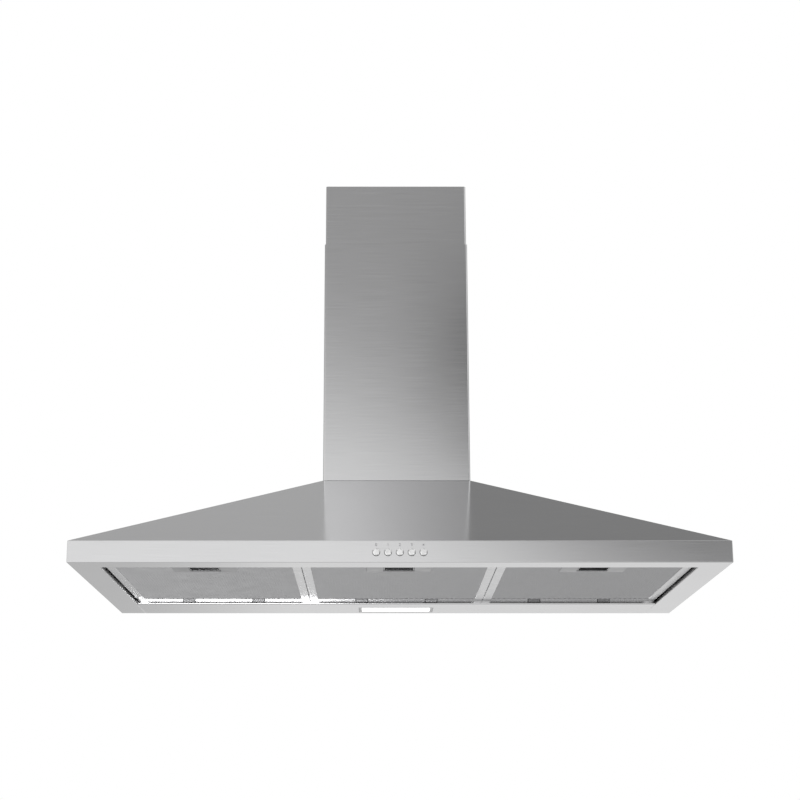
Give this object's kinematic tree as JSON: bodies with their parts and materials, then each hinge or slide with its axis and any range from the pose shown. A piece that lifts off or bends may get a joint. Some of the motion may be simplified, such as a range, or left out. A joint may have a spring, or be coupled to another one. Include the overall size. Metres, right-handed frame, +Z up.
{
  "type": "wall-mounted chimney range hood",
  "caption": "Wall chimney range hood: pyramid steel canopy with a band of push buttons, telescoping chimney covers, grease filters with finger latches, a lamp and a working blower.",
  "frame": {"origin": "centre of the hood's foot on the wall plane, at the height of its underside", "axes": "+X to the right seen from the front, +Y into the wall, +Z up"},
  "size_m": [0.9, 0.5045, 0.668],
  "materials": {
    "brushed_stainless": "fine horizontal brushing",
    "galvanised_sheet": "plain zinc-grey sheet",
    "filter_frame_aluminium": "satin rolled sheet",
    "filter_mesh_aluminium": "expanded mesh",
    "latch_alloy": "satin",
    "button_alloy": "satin chrome",
    "dark_plastic": "fine texture",
    "grey_plastic": "fine texture",
    "casing_plastic": "moulded",
    "impeller_plastic": "moulded",
    "lens_plastic": "frosted diffuser",
    "board_laminate": "white solder mask",
    "zinc_screw": "bright zinc plate",
    "spring_steel": "bright wire",
    "motor_can": "satin enamel",
    "shaft_steel": "ground",
    "capacitor_can": "moulded",
    "lead_sheath": "matt sheath"
  },
  "bodies": {
    "hood": {"canopy_shell": "brushed_stainless", "back_panel": "galvanised_sheet", "rear_rail": "brushed_stainless", "rail_screws": "zinc_screw", "lower_cover": "brushed_stainless", "cover_screws": "zinc_screw", "blower_plate": "galvanised_sheet", "plate_screws": "zinc_screw", "casing_left": "casing_plastic", "casing_right": "casing_plastic", "casing_screws": "zinc_screw", "foot_screws": "zinc_screw", "motor": "motor_can", "motor_bracket": "galvanised_sheet", "motor_screws": "zinc_screw", "outlet_collar": "dark_plastic", "flap_pin": "shaft_steel", "switch_housing": "dark_plastic", "switch_bracket": "galvanised_sheet", "lamp_bezel": "grey_plastic", "lamp_lens": "lens_plastic", "led_board": "board_laminate", "lamp_driver": "dark_plastic", "terminal_box": "grey_plastic", "terminal_lid": "grey_plastic", "cable_gland": "dark_plastic", "capacitor": "capacitor_can", "capacitor_clip": "galvanised_sheet", "control_lead": "lead_sheath", "supply_lead": "lead_sheath", "lamp_lead": "lead_sheath", "motor_lead": "lead_sheath"},
    "impeller": {"impeller": "impeller_plastic", "motor_shaft": "shaft_steel"},
    "flap_left": {"flap_left": "grey_plastic"},
    "flap_right": {"flap_right": "grey_plastic"},
    "upper_chimney": {"upper_cover": "brushed_stainless", "ceiling_bracket": "galvanised_sheet", "bracket_screws": "zinc_screw"},
    "button_off": {"button_off": "button_alloy"},
    "button_speed_1": {"button_speed_1": "button_alloy"},
    "button_speed_2": {"button_speed_2": "button_alloy"},
    "button_speed_3": {"button_speed_3": "button_alloy"},
    "button_light": {"button_light": "button_alloy"},
    "filter_left": {"filter_frame_left": "filter_frame_aluminium", "filter_mesh_left": "filter_mesh_aluminium", "latch_plate_left": "latch_alloy", "latch_spring_left": "spring_steel"},
    "latch_left": {"latch_slider_left": "latch_alloy"},
    "filter_middle": {"filter_frame_middle": "filter_frame_aluminium", "filter_mesh_middle": "filter_mesh_aluminium", "latch_plate_middle": "latch_alloy", "latch_spring_middle": "spring_steel"},
    "latch_middle": {"latch_slider_middle": "latch_alloy"},
    "filter_right": {"filter_frame_right": "filter_frame_aluminium", "filter_mesh_right": "filter_mesh_aluminium", "latch_plate_right": "latch_alloy", "latch_spring_right": "spring_steel"},
    "latch_right": {"latch_slider_right": "latch_alloy"}
  },
  "joints": [
    {"name": "upper_cover_slide", "type": "slide", "parent": "hood", "child": "upper_chimney", "axis": [0, 0, 1], "range_m": [-0.09, 0.23]},
    {"name": "impeller_spin", "type": "hinge", "parent": "hood", "child": "impeller", "pos_m": [-0.018, -0.1, 0.19], "axis": [1, 0, 0], "continuous": true},
    {"name": "flap_left_hinge", "type": "hinge", "parent": "hood", "child": "flap_left", "pos_m": [0, -0.1, 0.335], "axis": [0, 1, 0], "range_deg": [0, 75]},
    {"name": "flap_right_hinge", "type": "hinge", "parent": "hood", "child": "flap_right", "pos_m": [0, -0.1, 0.335], "axis": [0, -1, 0], "range_deg": [0, 75]},
    {"name": "button_off_press", "type": "slide", "parent": "hood", "child": "button_off", "axis": [0, 1, 0], "range_m": [0, 0.003], "stiffness_N_per_m": 300},
    {"name": "button_speed_1_press", "type": "slide", "parent": "hood", "child": "button_speed_1", "axis": [0, 1, 0], "range_m": [0, 0.003], "stiffness_N_per_m": 300},
    {"name": "button_speed_2_press", "type": "slide", "parent": "hood", "child": "button_speed_2", "axis": [0, 1, 0], "range_m": [0, 0.003], "stiffness_N_per_m": 300},
    {"name": "button_speed_3_press", "type": "slide", "parent": "hood", "child": "button_speed_3", "axis": [0, 1, 0], "range_m": [0, 0.003], "stiffness_N_per_m": 300},
    {"name": "button_light_press", "type": "slide", "parent": "hood", "child": "button_light", "axis": [0, 1, 0], "range_m": [0, 0.003], "stiffness_N_per_m": 300},
    {"name": "filter_left_hinge", "type": "hinge", "parent": "hood", "child": "filter_left", "pos_m": [-0.27293, -0.1035, 0.0035], "axis": [1, 0, 0], "range_deg": [0, 50]},
    {"name": "latch_left_slide", "type": "slide", "parent": "filter_left", "child": "latch_left", "axis": [0, 1, 0], "range_m": [-0.003, 0.006], "stiffness_N_per_m": 300, "deforming": ["latch_spring_left"]},
    {"name": "filter_middle_hinge", "type": "hinge", "parent": "hood", "child": "filter_middle", "pos_m": [0, -0.1035, 0.0035], "axis": [1, 0, 0], "range_deg": [0, 50]},
    {"name": "latch_middle_slide", "type": "slide", "parent": "filter_middle", "child": "latch_middle", "axis": [0, 1, 0], "range_m": [-0.003, 0.006], "stiffness_N_per_m": 300, "deforming": ["latch_spring_middle"]},
    {"name": "filter_right_hinge", "type": "hinge", "parent": "hood", "child": "filter_right", "pos_m": [0.27293, -0.1035, 0.0035], "axis": [1, 0, 0], "range_deg": [0, 50]},
    {"name": "latch_right_slide", "type": "slide", "parent": "filter_right", "child": "latch_right", "axis": [0, 1, 0], "range_m": [-0.003, 0.006], "stiffness_N_per_m": 300, "deforming": ["latch_spring_right"]}
  ]
}
